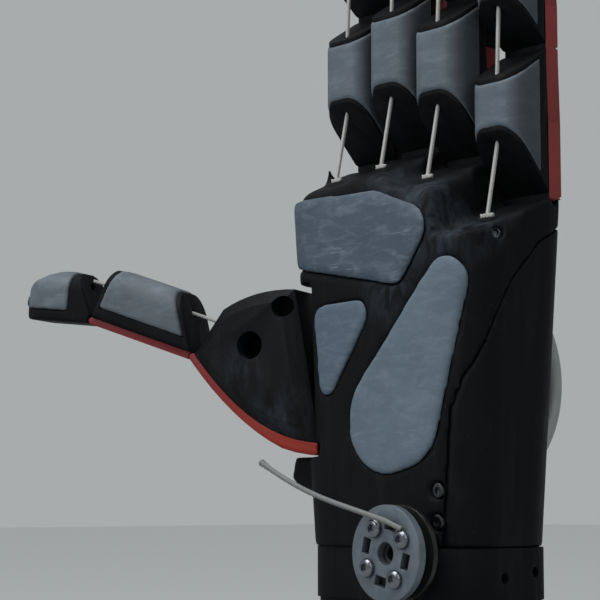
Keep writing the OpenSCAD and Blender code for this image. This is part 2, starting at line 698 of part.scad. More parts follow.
// The bowed tube on the back
tube_r = 2.2;
tube_half = 21;
tube_bow = 8.5;
module back_tube() {
    r = (tube_half * tube_half + tube_bow * tube_bow) / (2 * tube_bow);
    a = asin(tube_half / r) + 6;
    color("#b9bdbb") difference() {
        translate([24, 29.6 - r, seam_z + 48]) rotate([0, 90, 0]) rotate([0, 0, 90 - a])
            rotate_extrude(angle = 2 * a) translate([r, 0]) circle(tube_r, $fn = 24);
        palm_body(-pad_slip);
    }
}

palm_shell();
back_cover();
palm_pad(knuckle_outline);  // knuckle_pad
palm_pad(thenar_outline);  // thenar_pad
palm_pad(heel_outline);  // heel_pad
housing_screws();
wrist_housing();
servo();
spool_hub();
spool_flange();
horn_disc();
horn_screws();
tendon_tail();
back_tube();
tendons();
tendon_bars();
strip_roots();
for (f = [0:3], j = [0:2]) {
    name = str(FINGERS[f], "_", ["proximal", "middle", "distal"][j]);
    finger_shell(f, j);
    finger_pad(f, j);
    finger_strip(f, j);
}
metacarpal();  // thumb_metacarpal
metacarpal_strip();  // thumb_metacarpal_strip
thumb_link(0);  // thumb_proximal
thumb_pad(0);  // thumb_proximal_pad
thumb_strip();  // thumb_proximal_strip
thumb_link(1);  // thumb_distal
thumb_pad(1);  // thumb_distal_pad
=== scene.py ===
"""The looks of the robot hand: printed shells, silicone pads, flexible strips, tendons and the spool."""
import json
import math
from contextlib import contextmanager

import bpy
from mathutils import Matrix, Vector


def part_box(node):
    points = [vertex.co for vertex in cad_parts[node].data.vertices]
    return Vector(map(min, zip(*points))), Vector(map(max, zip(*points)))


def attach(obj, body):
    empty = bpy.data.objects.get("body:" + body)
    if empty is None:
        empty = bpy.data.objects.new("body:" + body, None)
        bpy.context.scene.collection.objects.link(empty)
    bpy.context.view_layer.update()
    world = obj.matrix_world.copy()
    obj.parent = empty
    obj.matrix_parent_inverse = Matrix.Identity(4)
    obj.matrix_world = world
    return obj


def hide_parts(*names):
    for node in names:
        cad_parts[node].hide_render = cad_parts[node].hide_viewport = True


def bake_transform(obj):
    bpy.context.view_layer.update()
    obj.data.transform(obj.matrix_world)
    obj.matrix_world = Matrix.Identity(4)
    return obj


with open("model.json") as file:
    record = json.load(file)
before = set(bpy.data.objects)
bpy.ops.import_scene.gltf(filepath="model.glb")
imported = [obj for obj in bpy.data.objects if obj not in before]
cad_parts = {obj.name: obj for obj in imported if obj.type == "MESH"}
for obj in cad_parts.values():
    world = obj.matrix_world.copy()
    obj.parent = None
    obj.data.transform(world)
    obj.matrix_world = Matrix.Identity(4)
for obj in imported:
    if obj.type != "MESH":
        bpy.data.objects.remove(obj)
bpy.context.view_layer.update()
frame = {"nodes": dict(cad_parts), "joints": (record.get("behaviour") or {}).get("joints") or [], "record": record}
MM = 0.001
TINY = 0.00001
UP = Vector((0, 0, 1))
FINGERS = ("index", "middle", "ring", "little")
LINKS = ("proximal", "middle", "distal")
HINGES = ("knuckle", "middle_joint", "end_joint")
JOINTS = {joint["name"]: joint for joint in frame["joints"]}
BODY_OF = {node: body for body, nodes in frame["record"]["behaviour"]["bodies"].items() for node in nodes}


def hinge(name):
    """The point that a joint turns about."""
    return Vector(JOINTS[name]["pos_m"])


def hinges_of(finger):
    """A finger's three hinge points, from the palm outwards."""
    return [hinge(f"{finger}_{name}") for name in HINGES]


def clamped(share):
    """A share kept between none and all."""
    return max(0.0, min(1.0, share))


# ---------------------------------------------------------------- shader maths
class Value:
    """A number that varies over a surface; Python's operators add Math nodes."""

    def __init__(self, nodes, socket):
        self.nodes = nodes
        self.socket = socket

    def _join(self, operation, first, second=0):
        made = self.nodes.node("Math", {"operation": operation}, {0: first, 1: second})
        return Value(self.nodes, made.outputs[0])

    def __add__(self, other):
        return self._join("ADD", self, other)

    def __radd__(self, other):
        return self._join("ADD", other, self)

    def __sub__(self, other):
        return self._join("SUBTRACT", self, other)

    def __rsub__(self, other):
        return self._join("SUBTRACT", other, self)

    def __mul__(self, other):
        return self._join("MULTIPLY", self, other)

    def __rmul__(self, other):
        return self._join("MULTIPLY", other, self)

    def __truediv__(self, other):
        return self._join("DIVIDE", self, other)

    def __pow__(self, other):
        return self._join("POWER", self, other)

    def peak(self, other):
        return self._join("MAXIMUM", self, other)

    def sine(self):
        return self._join("SINE", self)

    def positive(self):
        return self._join("ABSOLUTE", self)


class Nodes:
    """The nodes of a material or of the room: node() adds one, and show() sends one to the output."""

    def __init__(self, owner, output):
        self.owner = owner
        self.output = output
        owner.use_nodes = True
        self.tree = owner.node_tree
        self.tree.nodes.clear()

    def put(self, socket, item):
        """Sets a socket's value, or links what varies to it."""
        if isinstance(item, Value):
            item = item.socket
        if isinstance(item, bpy.types.NodeSocket):
            self.tree.links.new(item, socket)
        else:
            socket.default_value = item

    def node(self, kind, settings=None, sockets=None, **named):
        """Adds a node: its settings first, then its sockets, by number or by name."""
        made = self.tree.nodes.new("ShaderNode" + kind)
        for key, value in (settings or {}).items():
            if key == "stops":
                for element, (at, level) in zip(made.color_ramp.elements, value):
                    element.position = at
                    element.color = (level, level, level, 1)
            else:
                setattr(made, key, value)
        for key, item in (sockets or {}).items():
            self.put(made.inputs[key], item)
        for key, item in named.items():
            self.put(made.inputs[key.replace("_", " ")], item)
        return made

    def show(self, shader):
        """Sends a shader to the output."""
        self.node(self.output, Surface=shader.outputs[0])


class Paint(Nodes):
    """A material whose patterns are fixed to the piece that wears it."""

    def __init__(self, name):
        super().__init__(bpy.data.materials.new(name), "OutputMaterial")
        self.place = self.node("TexCoord").outputs["Object"]

    def axis(self, which):
        """One coordinate of the place: 0, 1 or 2."""
        return Value(self, self.node("SeparateXYZ", Vector=self.place).outputs[which])

    def stretched(self, scale, turn):
        """The place, turned and scaled, for a pattern with a grain."""
        return self.node("Mapping", Vector=self.place, Scale=scale, Rotation=turn).outputs[0]

    def noise(self, size, detail=3, rough=0.55, where=None, warp=0.0):
        """A cloudy pattern whose patches are about the given size."""
        made = self.node("TexNoise", Vector=where or self.place, Scale=1 / size, Detail=detail,
                         Roughness=rough, Distortion=warp)
        return Value(self, made.outputs["Fac"])

    def ramp(self, value, *stops):
        """The value carried from one stop's level to the other's, level beyond them."""
        return Value(self, self.node("ValToRGB", {"stops": stops}, Fac=value).outputs["Color"])

    def blend(self, share, first, second):
        """The first colour with a share of the second."""
        made = self.node("Mix", {"data_type": "RGBA"}, {0: share, 6: first, 7: second})
        return made.outputs[2]

    def bump(self, height, depth, strength=1.0):
        return self.node("Bump", Height=height, Distance=depth, Strength=strength).outputs[0]

    def finish(self, colour, roughness, normal=None, **fixed):
        """Wires the shader; what is fixed is the same all over."""
        if normal is not None:
            fixed["Normal"] = normal
        self.show(self.node("BsdfPrincipled", Base_Color=colour, Roughness=roughness, **fixed))
        return self.owner


def rgb(red, green, blue):
    """A colour given as it shows on screen, from 0 to 255."""
    def linear(level):
        share = level / 255
        return share / 12.92 if share <= 0.04045 else ((share + 0.055) / 1.055) ** 2.4
    return (linear(red), linear(green), linear(blue), 1)


# ---------------------------------------------------------------- materials
LAYER = 0.00022
PRINT_DUST = rgb(70, 74, 78)
# Lighter colour of rubbed streaks: real rubbing, partly painted sheen.
PRINT_RUBBED_SHEEN = rgb(34, 36, 39)
PRINT_SCUFFED = rgb(62, 64, 67)
# Colour of the painted bluish sheen on the black print.
PAINTED_SHEEN = rgb(66, 76, 86)
LINT = rgb(150, 160, 168)
CAST_MARK = rgb(128, 141, 152)
CAST_SHADE = rgb(72, 83, 96)
# Colour of the painted shade on a pad's sideways-facing flanks.
FLANK_SHADE = rgb(34, 38, 43)
STRIP_LAYER = 0.0003
# The thumb's strip changes shade along X, within this stretch.
NEAR_PALM_FROM = -0.08
NEAR_PALM_LONG = 0.05
# How far light scatters inside soft plastic.
SCATTER = (0.002, 0.002, 0.002)


def printed_plastic(name, dark, pale, gloss=0.5, sheen_patches=(), swirl=0.7, grain_turn=0.9):
    """Black filament print: fine layers, rubbed streaks with painted sheen, scuffs, dust, and patches of painted
    bluish sheen at places.
    """
    p = Paint(name)
    wobble = p.noise(0.004, 2)
    layers = ((p.axis(2) / LAYER + wobble * 1.5) * math.pi).sine().positive()
    broad = p.noise(0.018, 3)
    grain = p.noise(0.0011, 4, 0.65)
    streak = p.noise(0.006, 4, 0.6, where=p.stretched((1, 1, 0.12), (0.3, 0.2, 0)), warp=0.6)
    # Rubbed streaks are glossier, and also painted lighter as sheen.
    rubbed_sheen = p.ramp(streak, (0.52, 0), (0.72, 1))
    scratch = p.noise(0.0035, 6, 0.7, where=p.stretched((1, 1, 0.25), (0.7, 0.2, 0.4)))
    scuff = p.ramp(scratch, (0.66, 0), (0.74, 1))
    dust = p.ramp(p.noise(0.0008, 3, 0.5), (0.7, 0), (0.76, 1))
    colour = p.blend(broad * 0.8 + grain * 0.2, dark, pale)
    colour = p.blend(dust * 0.3, colour, PRINT_DUST)
    colour = p.blend(rubbed_sheen * 0.25, colour, PRINT_RUBBED_SHEEN)
    colour = p.blend(scuff * 0.3, colour, PRINT_SCUFFED)
    # Patches of painted bluish sheen, cloudy and drawn out.
    for (x, y, z), size, strength in sheen_patches:
        away = ((p.axis(0) - x) ** 2.0 + (p.axis(1) - y) ** 2.0 + (p.axis(2) - z) ** 2.0) ** 0.5
        near = p.ramp(away / size, (0.25, 1), (1.0, 0))
        drawn_out = p.stretched((1, 1, 0.45), (0, grain_turn, 0))
        cloudy = p.ramp(p.noise(size * 0.4, 7, 0.7, where=drawn_out, warp=swirl), (0.42, 0), (0.74, 1))
        colour = p.blend(near * cloudy * strength, colour, PAINTED_SHEEN)
    roughness = gloss + 0.16 * broad - 0.14 * rubbed_sheen + 0.1 * grain
    normal = p.bump(layers * 0.35 + grain * 0.5 + streak * 0.4, 0.00012, 0.55)
    return p.finish(colour, roughness, normal, Specular_IOR_Level=0.08)


def silicone(name, shade, pale, scratched=0.12):
    """Grey-blue cast silicone: milky, with casting marks, lint and scratches, and painted shade on its
    sideways-facing flanks.
    """
    p = Paint(name)
    cloud = p.noise(0.016, 4)
    fine = p.noise(0.0014, 4, 0.6)
    swirls = p.noise(0.005, 6, 0.65, where=p.stretched((0.6, 0.6, 1.7), (0.1, 0.5, 0)), warp=0.8)
    marks = p.ramp(swirls, (0.46, 0), (0.8, 1))
    lint = p.ramp(p.noise(0.0011, 3, 0.6), (0.68, 0), (0.76, 1))
    lines = p.noise(0.0016, 3, 0.5, where=p.stretched((0.16, 0.16, 3.2), (0.08, 0.12, 0)))
    scratch = p.ramp(lines, (0.63, 0), (0.7, 1))
    worn = p.ramp(p.noise(0.012, 2), (0.45, 0), (0.62, 1))
    painted_flank_shade = Value(p, p.node("Attribute", {"attribute_name": "painted_flank_shade"}).outputs["Fac"])
    colour = p.blend(cloud, shade, pale)
    colour = p.blend(lint * 0.35, colour, LINT)
    colour = p.blend(marks * 0.4, colour, CAST_MARK)
    colour = p.blend(fine * 0.18, colour, CAST_SHADE)
    colour = p.blend(scratch * worn * scratched, colour, LINT)
    # Painted shade: the pad darkens where it faces sideways.
    colour = p.blend(painted_flank_shade * 0.72, colour, FLANK_SHADE)
    roughness = 0.58 + 0.14 * fine - 0.1 * marks
    normal = p.bump(fine * 0.6 + marks * 0.4, 0.00015, 0.5)
    return p.finish(colour, roughness, normal, Subsurface_Weight=0.12, Subsurface_Radius=SCATTER,
                    Subsurface_Scale=1.0, Specular_IOR_Level=0.4)


def flexible_red(name, dark, bright, bloom, near_palm=None):
    """Red flexible filament, satin, with fine layers, a dusty bloom and its own shade near the palm."""
    p = Paint(name)
    broad = p.noise(0.01, 3)
    fine = p.noise(0.0009, 4, 0.65)
    across = p.axis(0)
    layers = ((across / STRIP_LAYER) * math.pi).sine().positive()
    colour = p.blend(broad, dark, bright)
    if near_palm:
        nearness = p.ramp((across - NEAR_PALM_FROM) / NEAR_PALM_LONG, (0.2, 0), (0.85, 1))
        colour = p.blend(nearness, colour, near_palm)
    colour = p.blend(fine * 0.2, colour, bloom)
    normal = p.bump(layers * 0.4 + fine * 0.6, 0.0001, 0.5)
    return p.finish(colour, 0.5 + 0.15 * fine, normal, Specular_IOR_Level=0.4)


def braid(name, shade, pale):
    """Braided cord with fuzzy grey between its strands."""
    p = Paint(name)
    fuzz = p.noise(0.0004, 4, 0.7)
    dirt = p.noise(0.006, 3)
    colour = p.blend(fuzz, shade, pale)
    colour = p.blend(dirt * 0.35, colour, shade)
    return p.finish(colour, 0.85 + 0.1 * fuzz, p.bump(fuzz, 0.00012, 0.7))


def blasted_aluminium():
    """Blasted grey aluminium, dulled by handling."""
    p = Paint("blasted_aluminium")
    grain = p.noise(0.0003, 4, 0.7)
    broad = p.noise(0.006, 3)
    stain = p.ramp(p.noise(0.004, 5, 0.65), (0.5, 0), (0.7, 1))
    colour = p.blend(broad, rgb(84, 93, 102), rgb(112, 121, 130))
    colour = p.blend(stain * 0.4, colour, rgb(62, 70, 78))
    return p.finish(colour, 0.46 + 0.14 * grain, p.bump(grain, 0.00004, 0.6), Metallic=0.5)


def turned_steel(name, dark, pale, rough):
    """Turned steel, with fine grain in its gloss."""
    p = Paint(name)
    grain = p.noise(0.0006, 3)
    return p.finish(p.blend(grain, dark, pale), rough + 0.14 * grain, Metallic=1.0)


def moulded_black(name, rough):
    """Black moulded plastic, faintly textured."""
    p = Paint(name)
    fine = p.noise(0.0006, 3)
    colour = p.blend(fine, rgb(20, 21, 23), rgb(32, 33, 36))
    return p.finish(colour, rough + 0.12 * fine, p.bump(fine, 0.00005, 0.4))


def smoked_plastic():
    """Dark see-through plastic, nearly clear of marks."""
    p = Paint("smoked_plastic")
    fine = p.noise(0.002, 3)
    colour = p.blend(fine, rgb(22, 24, 23), rgb(38, 41, 38))
    return p.finish(colour, 0.2 + 0.1 * fine, Transmission_Weight=0.3, IOR=1.4)


def milky_tube():
    """Milky soft tubing."""
    p = Paint("milky_tube")
    fine = p.noise(0.003, 3)
    colour = p.blend(fine, rgb(128, 133, 132), rgb(150, 154, 152))
    return p.finish(colour, 0.35 + 0.1 * fine, Subsurface_Weight=0.2, Subsurface_Radius=SCATTER,
                    Subsurface_Scale=1.0)


# ---------------------------------------------------------------- modelling by hand
JOIN_WITHIN = 0.000002
FLAT_WITHIN = 1
# Degrees: edges sharper than the first are bevelled, and those sharper than the second stay creased.
BEVEL_ANGLE = 28
CREASE_ANGLE = 40
# The same for the pieces that are modelled here.
NEW_BEVEL_ANGLE = 40
NEW_CREASE_ANGLE = 35


def only(obj):
    """Makes obj the one selected object."""
    for other in bpy.context.selected_objects:
        other.select_set(False)
    obj.select_set(True)
    bpy.context.view_layer.objects.active = obj


def modify(obj, kind, **settings):
    """Adds a modifier and applies it."""
    only(obj)
    modifier = obj.modifiers.new(kind.lower(), kind)
    for key, value in settings.items():
        setattr(modifier, key, value)
    bpy.ops.object.modifier_apply(modifier=modifier.name)


@contextmanager
def editing(obj, chosen=None):
    """Edit mode on one object, with all of it selected, or only the points that pass a test."""
    only(obj)
    bpy.context.tool_settings.mesh_select_mode = (True, False, False)
    if chosen:
        for kind in (obj.data.polygons, obj.data.edges, obj.data.vertices):
            for item in kind:
                item.select = False
        for vertex in obj.data.vertices:
            vertex.select = bool(chosen(vertex.co))
    bpy.ops.object.mode_set(mode="EDIT")
    if not chosen:
        bpy.ops.mesh.select_all(action="SELECT")
    yield
    bpy.ops.object.mode_set(mode="OBJECT")


def push(piece, chosen, by):
    """Moves the points that pass a test."""
    with editing(piece, chosen):
        bpy.ops.transform.translate(value=by)


def slice_across(piece, heights):
    """Cuts a piece level at each height."""
    with editing(piece):
        for height in heights:
            bpy.ops.mesh.select_all(action="SELECT")
            bpy.ops.mesh.bisect(plane_co=(0, 0, height), plane_no=(0, 0, 1))


def as_piece(name):
    """Names the primitive just added and puts its place and size into its mesh."""
    piece = bpy.context.object
    piece.name = name
    bpy.ops.object.transform_apply(location=True, rotation=True, scale=True)
    return piece


def bar(name, low, high):
    """A plain bar between two corners, to be cut and shaped."""
    bpy.ops.object.select_all(action="DESELECT")
    bpy.ops.mesh.primitive_cube_add(size=1, location=(low + high) / 2, scale=high - low)
    return as_piece(name)


def smooth_round(piece, angle):
    """Shades a piece smooth, apart from its sharp edges."""
    only(piece)
    bpy.ops.object.shade_smooth_by_angle(angle=math.radians(angle))


def melt(piece, voxel, passes):
    """Remakes a piece as an even mesh and smooths it, which rounds its edges as a moulding's are."""
    modify(piece, "REMESH", mode="VOXEL", voxel_size=voxel, use_smooth_shade=True)
    modify(piece, "SMOOTH", factor=0.5, iterations=passes)


def copy_of(node):
    """A copy of a CAD node with its loose triangles joined and flat faces whole."""
    copy = bpy.data.objects.new(node + "_finished", frame["nodes"][node].data.copy())
    bpy.context.scene.collection.objects.link(copy)
    with editing(copy):
        bpy.ops.mesh.remove_doubles(threshold=JOIN_WITHIN)
        bpy.ops.mesh.dissolve_limited(angle_limit=math.radians(FLAT_WITHIN))
    return copy


def dress(obj, material):
    """Gives a piece its material."""
    obj.data.materials.clear()
    obj.data.materials.append(material)


def stand_for(piece, node, material):
    """Dresses a piece and puts it in a CAD node's place, on the node's own body."""
    dress(piece, material)
    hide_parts(node)
    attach(piece, BODY_OF[node])


def refined(node, material, width, segments=2):
    """A CAD node with softened edges."""
    piece = copy_of(node)
    modify(piece, "BEVEL", width=width, segments=segments, limit_method="ANGLE",
           angle_limit=math.radians(BEVEL_ANGLE), harden_normals=False)
    smooth_round(piece, CREASE_ANGLE)
    stand_for(piece, node, material)
    return piece


def melted(node, material, voxel, passes):
    """A CAD node whose edges are melted round."""
    piece = copy_of(node)
    melt(piece, voxel, passes)
    stand_for(piece, node, material)
    return piece


# ---------------------------------------------------------------- cords
# The tail is in millimetres, as it was laid out, and all else is in metres and degrees.
TAIL = [(24, -34.6, 50.5), (19, -35.6, 52.6), (13, -36, 54.2), (7, -36, 55.6), (1, -36, 57), (-5, -36, 58.5),
        (-11, -36, 60.2), (-17, -36, 62.2), (-23, -36.2, 64.6), (-29, -36.6, 67.4), (-33, -37, 69.6)]
TAIL_R = 0.8
TAIL_SLIM = 0.9
TAIL_STEPS = 16
TAIL_PLAIT = 3400
TAIL_FRAY = 0.45
STRANDS = 4
TENDON_R = 0.00058
TENDON_STEPS = 90
TENDON_PLAIT = 4200
TENDON_SUNK = 0.0015
# Where a tendon and its crossbar leave the palm, from the knuckle's hinge.
TENDON_EXIT = Vector((0, -0.0179, -0.0062))
CROSSBAR_EXIT = Vector((0, -0.0179, -0.00633))
# Each hinge's tendon depth, and how steeply the link's end above it rises and the one below it falls.
TENDON_DEPTH = (-0.0132, -0.0122, -0.0112)
TENDON_RISE = (48, 40.4, 25.75)
TENDON_FALL = (33.1, 25.75)
CROSSBAR_R = 0.00068
CROSSBAR_HALF = {"index": 0.0018, "middle": 0.0018, "ring": 0.0018, "little": 0.0023}
CROSSBAR_STEPS = 14
CROSSBAR_PLAIT = 2400
# The thumb's tendon at its knuckle and end joint: how far out, and how far back and on along the link.
THUMB_TENDON_OUT = 0.0125
THUMB_TENDON_TIP_OUT = 0.0118
KNUCKLE_SPAN = (0.009, 0.0095)
END_SPAN = (0.004, 0.008)


def smooth_route(points, steps):
    """Points on a smooth curve through the given ones."""
    out = []
    for i in range(len(points) - 1):
        p0 = points[max(i - 1, 0)]
        p1 = points[i]
        p2 = points[i + 1]
        p3 = points[min(i + 2, len(points) - 1)]
        for k in range(steps):
            t = k / steps
            out.append(0.5 * ((2 * p1) + (p2 - p0) * t + (2 * p0 - 5 * p1 + 4 * p2 - p3) * t * t
                              + (3 * p1 - p0 - 3 * p2 + p3) * t ** 3))
    out.append(points[-1])
    return out


def tube_along(name, route, radius, sides, wave, plait, fray=0.0):
    """A closed tube along a route. wave swells it in a plait of strands; fray loosens its last tenth."""
    verts = []
    faces = []
    run = 0.0
    last = len(route) - 1
    for i, at in enumerate(route):
        ahead = (route[min(i + 1, last)] - route[max(i - 1, 0)]).normalized()
        side = ahead.cross(UP).normalized()
        over = side.cross(ahead).normalized()
        loose = fray * max(0, 10 * i / last - 9)
        if i:
            run += (at - route[i - 1]).length
        for k in range(sides):
            angle = 2 * math.pi * k / sides
            twist = 0.5 * (math.sin(STRANDS * angle + plait * run) + math.sin(STRANDS * angle - plait * run))
            swell = radius * (1 + wave * (abs(twist) - 0.5)) * (1 + loose)
            verts.append(at + side * math.cos(angle) * swell + over * math.sin(angle) * swell)
        if i:
            for k in range(sides):
                a = (i - 1) * sides + k
                b = (i - 1) * sides + (k + 1) % sides
                faces.append((a, b, b + sides, a + sides))
    faces.append(tuple(range(sides - 1, -1, -1)))
    faces.append(tuple(range(last * sides, (last + 1) * sides)))
    spine = bpy.data.meshes.new(name)
    spine.from_pydata([tuple(v) for v in verts], [], faces)
    piece = bpy.data.objects.new(name, spine)
    bpy.context.scene.collection.objects.link(piece)
    with editing(piece):
        bpy.ops.mesh.normals_make_consistent(inside=False)
    bpy.ops.object.shade_smooth()
    return piece


def straight(start, end, steps):
    """Evenly spaced points from start to end."""
    return [start + (end - start) * k / steps for k in range(steps + 1)]


def tail_cord(material):
    """The tendon's loose tail, which runs off the drum and is frayed where it was cut."""
    route = smooth_route([Vector(p) * MM for p in TAIL], TAIL_STEPS)
    piece = tube_along("tail_cord", route, TAIL_R * MM * TAIL_SLIM, sides=16, wave=0.3, plait=TAIL_PLAIT,
                       fray=TAIL_FRAY)
    dress(piece, material)
    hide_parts("tendon_tail")
    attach(piece, "spool")
    length = sum((b - a).length for a, b in zip(route, route[1:]))


def cord_span(name, start, end, material):
    """A straight length of braided tendon between two links."""
    route = straight(start, end, TENDON_STEPS)
    piece = tube_along(name, route, TENDON_R, sides=12, wave=0.4, plait=TENDON_PLAIT)
    dress(piece, material)
    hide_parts("tendons")
    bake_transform(piece)


def finger_tendons(finger, material):
    """A finger's tendon: three lengths, each across one hinge, that go in and out of the links."""
    for j, at in enumerate(hinges_of(finger)):
        up = -TENDON_DEPTH[j] * math.tan(math.radians(TENDON_RISE[j]))
        top = at + Vector((0, TENDON_DEPTH[j], up + TENDON_SUNK))
        if j == 0:
            low = at + TENDON_EXIT
        else:
            down = -TENDON_DEPTH[j - 1] * math.tan(math.radians(TENDON_FALL[j - 1]))
            low = at + Vector((0, TENDON_DEPTH[j - 1], -down - TENDON_SUNK))
        cord_span(f"{finger}_tendon_{j + 1}", low, top, material)


def thumb_tendon(material):
    """The thumb's tendon, in two lengths along its upper side."""
    knuckle = hinge("thumb_knuckle")
    end = hinge("thumb_end_joint")
    along = (end - knuckle).normalized()
    up = along.cross(Vector(JOINTS["thumb_knuckle"]["axis"]).normalized())
    if up.z < 0:
        up = -up
    low = knuckle + up * THUMB_TENDON_OUT - along * KNUCKLE_SPAN[0]
    high = knuckle + up * THUMB_TENDON_OUT + along * KNUCKLE_SPAN[1]
    cord_span("thumb_tendon_1", low, high, material)
    low = end + up * THUMB_TENDON_OUT - along * END_SPAN[0]
    high = end + up * THUMB_TENDON_TIP_OUT + along * END_SPAN[1]
    cord_span("thumb_tendon_2", low, high, material)


def crossbars(material):
    """Knotted crossbars that hold the tendons where they leave the palm."""
    for finger in FINGERS:
        at = hinge(f"{finger}_knuckle") + CROSSBAR_EXIT
        half = CROSSBAR_HALF[finger]
        steps = CROSSBAR_STEPS
        route = [at + Vector((half * (2 * k / steps - 1), 0, 0)) for k in range(steps + 1)]
        piece = tube_along(f"{finger}_crossbar", route, CROSSBAR_R, sides=12, wave=0.6, plait=CROSSBAR_PLAIT)
        dress(piece, material)
        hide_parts("tendon_bars")
        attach(piece, "palm")


# ---------------------------------------------------------------- shells and pads
PALM_VOXEL = 0.00075
PALM_PASSES = 7
# The palm's top is smoothed much more, fading in with height and towards the grip.
TOP_BELOW = 0.012
TOP_FADE = 0.006
TOP_FRONT = -0.001
FRONT_FADE = 0.004
TOP_PASSES = 320
PAD_VOXEL = 0.0005
PAD_PASSES = 16
# How squarely a pad's face looks sideways before it gets painted flank shade.
FLANK_FROM = 0.45
FLANK_FADE = 0.45
# The ellipse that rounds the thumb's tip, and the directions of its cuts.
TIP_LONG = 0.020
TIP_TALL = 0.0125
TIP_CUTS = (8, 22, 36, 50, 64, 78)


def palm_shell(material):
    """The palm: its top slopes smoothly from one finger's seat to the next."""
    piece = melted("palm_shell", material, PALM_VOXEL, PALM_PASSES)
    top = piece.vertex_groups.new(name="top")
    lowest = hinge("little_knuckle").z - TOP_BELOW
    for vertex in piece.data.vertices:
        rise = (vertex.co.z - lowest) / TOP_FADE
        front = (TOP_FRONT - vertex.co.y) / FRONT_FADE
        top.add([vertex.index], clamped(min(rise, front)), "REPLACE")
    modify(piece, "SMOOTH", factor=0.5, iterations=TOP_PASSES, vertex_group="top")


def grip_pad(node, material):
    """A finger's silicone pad with rolled edges; its sideways-facing flanks are marked for painted shade."""
    piece = melted(node, material, PAD_VOXEL, PAD_PASSES)
    painted_flank_shade = piece.data.attributes.new(name="painted_flank_shade", type="FLOAT", domain="POINT")
    for vertex in piece.data.vertices:
        painted_flank_shade.data[vertex.index].value = clamped((abs(vertex.normal.x) - FLANK_FROM) / FLANK_FADE)


def thumb_tip(node, material, inset, passes):
    """A piece of the thumb's end link, its outer corner cut back along an ellipse and melted round."""
    piece = copy_of(node)
    end = hinge("thumb_end_joint")
    axis = Vector(JOINTS["thumb_knuckle"]["axis"]).normalized()
    along = Vector((-axis.y, axis.x, 0)).normalized()
    pad = frame["nodes"]["thumb_distal_pad"].data.vertices
    reach = max((v.co - end).dot(along) for v in pad)
    tall = max((v.co - end).dot(UP) for v in pad)
    centre = end + along * (reach - TIP_LONG) + UP * (tall - TIP_TALL)
    with editing(piece):
        for angle in TIP_CUTS:
            turn = math.radians(angle)
            out = (along * math.cos(turn) / TIP_LONG + UP * math.sin(turn) / TIP_TALL).normalized()
            edge = centre + along * math.cos(turn) * TIP_LONG + UP * math.sin(turn) * TIP_TALL
            bpy.ops.mesh.select_all(action="SELECT")
            bpy.ops.mesh.bisect(plane_co=tuple(edge - out * inset), plane_no=tuple(out), use_fill=True,
                                clear_outer=True)
    melt(piece, PAD_VOXEL, passes)
    stand_for(piece, node, material)


# ---------------------------------------------------------------- red strips
# A strip reaches from WEB in front of its hinge to STRIP_BACK behind it.
STRIP_BACK = 0.0044
WEB = 0.001
NOTCH = 0.0004
NOTCH_DEEP = 0.001
ROOT_DEEP = 0.010
ROOT_INSET = 0.002
ROOT_BACK = 0.002
LAP = 0.0008
BEND_REACH = 0.004
BEND_CUTS = 9
END_ROUND = 0.0025
STRIP_EDGE = 0.0003
# Black painted shade runs this far from a hinge; the ring finger has more above the little finger's middle hinge.
SHADE_REACH = 0.012
SHADE_GAP = (0.003, 0.014)
SHADE_MARGIN = 0.0005
FACES_OUT = 0.6
# The thumb's strip swells downwards, as a share of the metacarpal's length from its knuckle.
STRIP_SWELL = 0.0016
SWELL_FROM = 0.15
SWELL_LONG = 0.55
FACES_DOWN = -0.25


def painted_shade_zones(finger, at):
    """The stretches of height, at the hinges, where a strip's outer side is painted black as shade."""
    zones = []
    if finger != "little":
        zones = [(at[0].z - SHADE_REACH, at[0].z + SHADE_REACH), (at[1].z, at[1].z + SHADE_REACH)]
    if finger == "ring":
        gap = hinge("little_middle_joint").z
        zones.append((gap + SHADE_GAP[0], gap + SHADE_GAP[1]))
    return zones


def narrow_root(piece, centre):
    """Thins a strip's root, which goes down into the palm."""
    top = centre.z - NOTCH - TINY
    push(piece, lambda p: p.z < top and p.x < centre.x, (ROOT_INSET, 0, 0))
    push(piece, lambda p: p.z < top and p.x > centre.x, (-ROOT_INSET, 0, 0))
    push(piece, lambda p: p.z < top and p.y > centre.y, (0, ROOT_BACK - STRIP_BACK, 0))


def strip_length(name, centre, below, above, width, width_below, zones):
    """One length of a finger's strip: notched at its hinge, and as wide below as the length it meets."""
    half = Vector((width / 2, 0, 0))
    piece = bar(name, centre - half + Vector((0, -WEB, -below)),
                centre + half + Vector((0, STRIP_BACK, above)))
    lowest = centre.z - below
    highest = centre.z + above
    bends = [(centre + UP * BEND_REACH * (2 * k / (BEND_CUTS - 1) - 1)).z for k in range(BEND_CUTS)]
    notch = [(centre - UP * NOTCH).z, (centre + UP * NOTCH).z]
    # The strip is also cut where its black painted shade starts and stops.
    shade_ends = [z for zone in zones for z in zone if lowest + SHADE_MARGIN < z < highest - SHADE_MARGIN]
    slice_across(piece, bends + notch + shade_ends)
    push(piece, lambda p: p.y > centre.y + STRIP_BACK - TINY and abs(p.z - centre.z) < TINY,
         (0, -NOTCH_DEEP, 0))
    if width_below != width:
        wider = (width_below - width) / 2
        push(piece, lambda p: p.z < lowest + TINY and p.x < centre.x, (-wider, 0, 0))
        push(piece, lambda p: p.z < lowest + TINY and p.x > centre.x, (wider, 0, 0))
    return piece


def paint_shade(piece, centre, zones, shade_black):
    """Paints shade in black on the side that faces the grip, and on the outer side within the zones."""
    piece.data.materials.append(shade_black)
    for face in piece.data.polygons:
        covered = face.normal.x > FACES_OUT and any(low < face.center.z < high for low, high in zones)
        if (face.normal.y < -FACES_OUT and face.center.y < centre.y) or covered:
            face.material_index = 1


